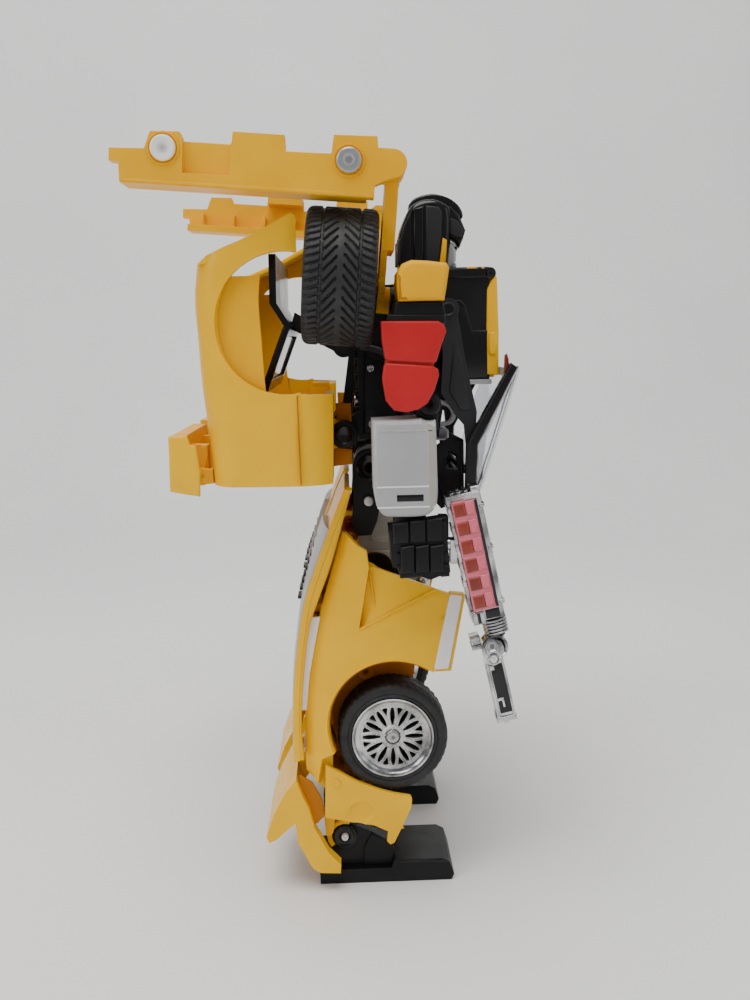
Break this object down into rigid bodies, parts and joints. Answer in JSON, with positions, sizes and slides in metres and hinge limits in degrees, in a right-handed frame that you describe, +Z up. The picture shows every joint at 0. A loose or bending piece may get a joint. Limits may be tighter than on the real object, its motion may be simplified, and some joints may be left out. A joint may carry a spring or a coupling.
{
  "type": "transforming robot car",
  "caption": "Toy robot that folds into a sports car, standing, with car panels, tyres and a hand-held toy gun.",
  "frame": {"origin": "on the floor under the middle of the bounding box, soles at z = 0", "axes": "+Z up, longest extent; +X the way the robot faces, shortest extent; +Y to the robot's left"},
  "size_m": [0.1226, 0.14, 0.2375],
  "materials": {
    "black_plastic": "satin moulded black",
    "black_gloss": "glossy painted black",
    "steel": "turned steel",
    "yellow_shell": "glossy golden yellow paint",
    "yellow_plastic": "moulded golden yellow",
    "orange_plastic": "moulded deep yellow",
    "silver_paint": "silver paint",
    "clear_glass": "clear plastic",
    "dark_grey": "satin dark grey",
    "chrome": "vacuum-plated chrome",
    "pink_clear": "translucent pink with red-brown cells",
    "red_plastic": "satin red",
    "light_grey": "satin light grey",
    "beige_grey": "satin warm grey",
    "white_plastic": "white",
    "tyre": "rubber with a V tread"
  },
  "bodies": {
    "torso": {"torso_frame": "black_plastic", "waist": "black_plastic", "torso_screws": "steel", "chest_shell": "black_plastic", "chest_panel": "yellow_shell"},
    "head": {"head_helmet": "black_gloss", "head_face": "silver_paint"},
    "windshield": {"windshield_frame": "black_gloss", "windshield_glass": "clear_glass", "windshield_arm_r": "dark_grey", "windshield_arm_l": "dark_grey"},
    "rear_window": {"window_frame": "black_gloss", "window_glass": "clear_glass"},
    "gun": {"gun_body": "chrome", "gun_drum": "pink_clear", "gun_spring": "steel"},
    "arm_r": {"shoulder_cap_r": "yellow_plastic", "upper_arm_r": "red_plastic"},
    "lower_arm_r": {"forearm_r": "light_grey"},
    "fist_r": {"hand_r": "black_plastic"},
    "upper_leg_r": {"thigh_r": "beige_grey", "hip_link_r": "black_plastic"},
    "lower_leg_r": {"shin_frame_r": "orange_plastic", "leg_shell_r": "yellow_shell", "side_trim_r": "white_plastic", "hood_half_r": "yellow_shell", "leg_pins_r": "steel"},
    "leg_wheel_r": {"leg_tyre_r": "tyre", "leg_rim_r": "chrome"},
    "ankle_r": {"foot_r": "black_plastic"},
    "front_bumper_r": {"bumper_r": "yellow_shell"},
    "front_nose_r": {"nose_r": "yellow_shell"},
    "quarter_r": {"quarter_shell_r": "yellow_shell"},
    "tail_r": {"spoiler_r": "yellow_plastic"},
    "swing_r": {"swing_arm_r": "yellow_plastic"},
    "rear_wheel_r": {"rear_tyre_r": "tyre", "rear_rim_r": "chrome"},
    "sill_r": {"sill_panel_r": "yellow_plastic"},
    "arm_l": {"shoulder_cap_l": "yellow_plastic", "upper_arm_l": "red_plastic"},
    "lower_arm_l": {"forearm_l": "light_grey"},
    "fist_l": {"hand_l": "black_plastic"},
    "upper_leg_l": {"thigh_l": "beige_grey", "hip_link_l": "black_plastic"},
    "lower_leg_l": {"shin_frame_l": "orange_plastic", "leg_shell_l": "yellow_shell", "side_trim_l": "white_plastic", "hood_half_l": "yellow_shell", "leg_pins_l": "steel"},
    "leg_wheel_l": {"leg_tyre_l": "tyre", "leg_rim_l": "chrome"},
    "ankle_l": {"foot_l": "black_plastic"},
    "front_bumper_l": {"bumper_l": "yellow_shell"},
    "front_nose_l": {"nose_l": "yellow_shell"},
    "quarter_l": {"quarter_shell_l": "yellow_shell"},
    "tail_l": {"spoiler_l": "yellow_plastic"},
    "swing_l": {"swing_arm_l": "yellow_plastic"},
    "rear_wheel_l": {"rear_tyre_l": "tyre", "rear_rim_l": "chrome"},
    "sill_l": {"sill_panel_l": "yellow_plastic"}
  },
  "joints": [
    {"name": "head_turn", "type": "hinge", "parent": "torso", "child": "head", "pos_m": [0.02893, 0, 0.198], "axis": [0, 0, 1], "range_deg": [-60, 60]},
    {"name": "windshield_fold", "type": "hinge", "parent": "torso", "child": "windshield", "pos_m": [0.03443, 0, 0.189], "axis": [0, -1, 0], "range_deg": [0, 90]},
    {"name": "rear_window_tilt", "type": "hinge", "parent": "torso", "child": "rear_window", "pos_m": [0.00143, 0, 0.178], "axis": [0, -1, 0], "range_deg": [-8, 8]},
    {"name": "shoulder_swing_r", "type": "hinge", "parent": "torso", "child": "arm_r", "pos_m": [0.02463, -0.056, 0.1935], "axis": [0, -1, 0], "range_deg": [-5, 90]},
    {"name": "elbow_bend_r", "type": "hinge", "parent": "arm_r", "child": "lower_arm_r", "pos_m": [0.02593, -0.056, 0.161], "axis": [0, -1, 0], "range_deg": [0, 90]},
    {"name": "wrist_turn_r", "type": "hinge", "parent": "lower_arm_r", "child": "fist_r", "pos_m": [0.01993, -0.056, 0.128], "axis": [0, 0, -1], "range_deg": [0, 15]},
    {"name": "hip_swing_r", "type": "hinge", "parent": "torso", "child": "upper_leg_r", "pos_m": [0.00993, -0.018, 0.14], "axis": [0, -1, 0], "range_deg": [-12, 15]},
    {"name": "knee_bend_r", "type": "hinge", "parent": "upper_leg_r", "child": "lower_leg_r", "pos_m": [0.00993, -0.018, 0.104], "axis": [0, -1, 0], "range_deg": [0, 25]},
    {"name": "ankle_tilt_r", "type": "hinge", "parent": "lower_leg_r", "child": "ankle_r", "pos_m": [-0.00247, -0.028, 0.0159], "axis": [0, -1, 0], "range_deg": [-20, 20]},
    {"name": "leg_wheel_spin_r", "type": "hinge", "parent": "lower_leg_r", "child": "leg_wheel_r", "pos_m": [0.01413, -0.03655, 0.052], "axis": [0, -1, 0], "continuous": true},
    {"name": "bumper_fold_r", "type": "hinge", "parent": "lower_leg_r", "child": "front_bumper_r", "pos_m": [-0.00457, -0.0448, 0.038], "axis": [0, 1, 0], "range_deg": [0, 15]},
    {"name": "nose_fold_r", "type": "hinge", "parent": "lower_leg_r", "child": "front_nose_r", "pos_m": [-0.01357, -0.02, 0.041], "axis": [0, 1, 0], "range_deg": [0, 30]},
    {"name": "quarter_fold_r", "type": "hinge", "parent": "torso", "child": "quarter_r", "pos_m": [0.00093, -0.036, 0.151], "axis": [0, -1, 0], "range_deg": [0, 15]},
    {"name": "spoiler_fold_r", "type": "hinge", "parent": "quarter_r", "child": "tail_r", "pos_m": [-0.04207, -0.033, 0.1405], "axis": [0, -1, 0], "range_deg": [0, 40]},
    {"name": "wheel_arm_swing_r", "type": "hinge", "parent": "torso", "child": "swing_r", "pos_m": [0.01193, -0.0415, 0.192], "axis": [0.9968, 0, -0.0802], "range_deg": [0, 40]},
    {"name": "rear_wheel_spin_r", "type": "hinge", "parent": "swing_r", "child": "rear_wheel_r", "pos_m": [0.00101, -0.05, 0.1984], "axis": [0.9968, 0, -0.0802], "continuous": true},
    {"name": "sill_lift_r", "type": "hinge", "parent": "swing_r", "child": "sill_r", "pos_m": [0.01652, -0.058, 0.22785], "axis": [0, 1, 0], "range_deg": [0, 60]},
    {"name": "shoulder_swing_l", "type": "hinge", "parent": "torso", "child": "arm_l", "pos_m": [0.02463, 0.056, 0.1935], "axis": [0, -1, 0], "range_deg": [-5, 90]},
    {"name": "elbow_bend_l", "type": "hinge", "parent": "arm_l", "child": "lower_arm_l", "pos_m": [0.02593, 0.056, 0.161], "axis": [0, -1, 0], "range_deg": [0, 90]},
    {"name": "wrist_turn_l", "type": "hinge", "parent": "lower_arm_l", "child": "fist_l", "pos_m": [0.01993, 0.056, 0.128], "axis": [0, 0, 1], "range_deg": [0, 90]},
    {"name": "hip_swing_l", "type": "hinge", "parent": "torso", "child": "upper_leg_l", "pos_m": [0.00993, 0.018, 0.14], "axis": [0, -1, 0], "range_deg": [-12, 15]},
    {"name": "knee_bend_l", "type": "hinge", "parent": "upper_leg_l", "child": "lower_leg_l", "pos_m": [0.00993, 0.018, 0.104], "axis": [0, -1, 0], "range_deg": [0, 25]},
    {"name": "ankle_tilt_l", "type": "hinge", "parent": "lower_leg_l", "child": "ankle_l", "pos_m": [-0.00247, 0.028, 0.0159], "axis": [0, -1, 0], "range_deg": [-20, 20]},
    {"name": "leg_wheel_spin_l", "type": "hinge", "parent": "lower_leg_l", "child": "leg_wheel_l", "pos_m": [0.01413, 0.03655, 0.052], "axis": [0, -1, 0], "continuous": true},
    {"name": "bumper_fold_l", "type": "hinge", "parent": "lower_leg_l", "child": "front_bumper_l", "pos_m": [-0.00457, 0.0448, 0.038], "axis": [0, 1, 0], "range_deg": [0, 15]},
    {"name": "nose_fold_l", "type": "hinge", "parent": "lower_leg_l", "child": "front_nose_l", "pos_m": [-0.01357, 0.02, 0.041], "axis": [0, 1, 0], "range_deg": [0, 30]},
    {"name": "quarter_fold_l", "type": "hinge", "parent": "torso", "child": "quarter_l", "pos_m": [0.00093, 0.036, 0.151], "axis": [0, -1, 0], "range_deg": [0, 15]},
    {"name": "spoiler_fold_l", "type": "hinge", "parent": "quarter_l", "child": "tail_l", "pos_m": [-0.04207, 0.033, 0.1405], "axis": [0, -1, 0], "range_deg": [0, 40]},
    {"name": "wheel_arm_swing_l", "type": "hinge", "parent": "torso", "child": "swing_l", "pos_m": [0.01193, 0.0415, 0.192], "axis": [-0.9968, 0, 0.0802], "range_deg": [0, 40]},
    {"name": "rear_wheel_spin_l", "type": "hinge", "parent": "swing_l", "child": "rear_wheel_l", "pos_m": [0.00101, 0.05, 0.1984], "axis": [0.9968, 0, -0.0802], "continuous": true},
    {"name": "sill_lift_l", "type": "hinge", "parent": "swing_l", "child": "sill_l", "pos_m": [0.01652, 0.058, 0.22785], "axis": [0, 1, 0], "range_deg": [0, 60]},
    {"name": "gun_swivel", "type": "hinge", "parent": "fist_r", "child": "gun", "pos_m": [0.02993, -0.0575, 0.119], "axis": [-1, 0, 0], "range_deg": [0, 60]}
  ]
}
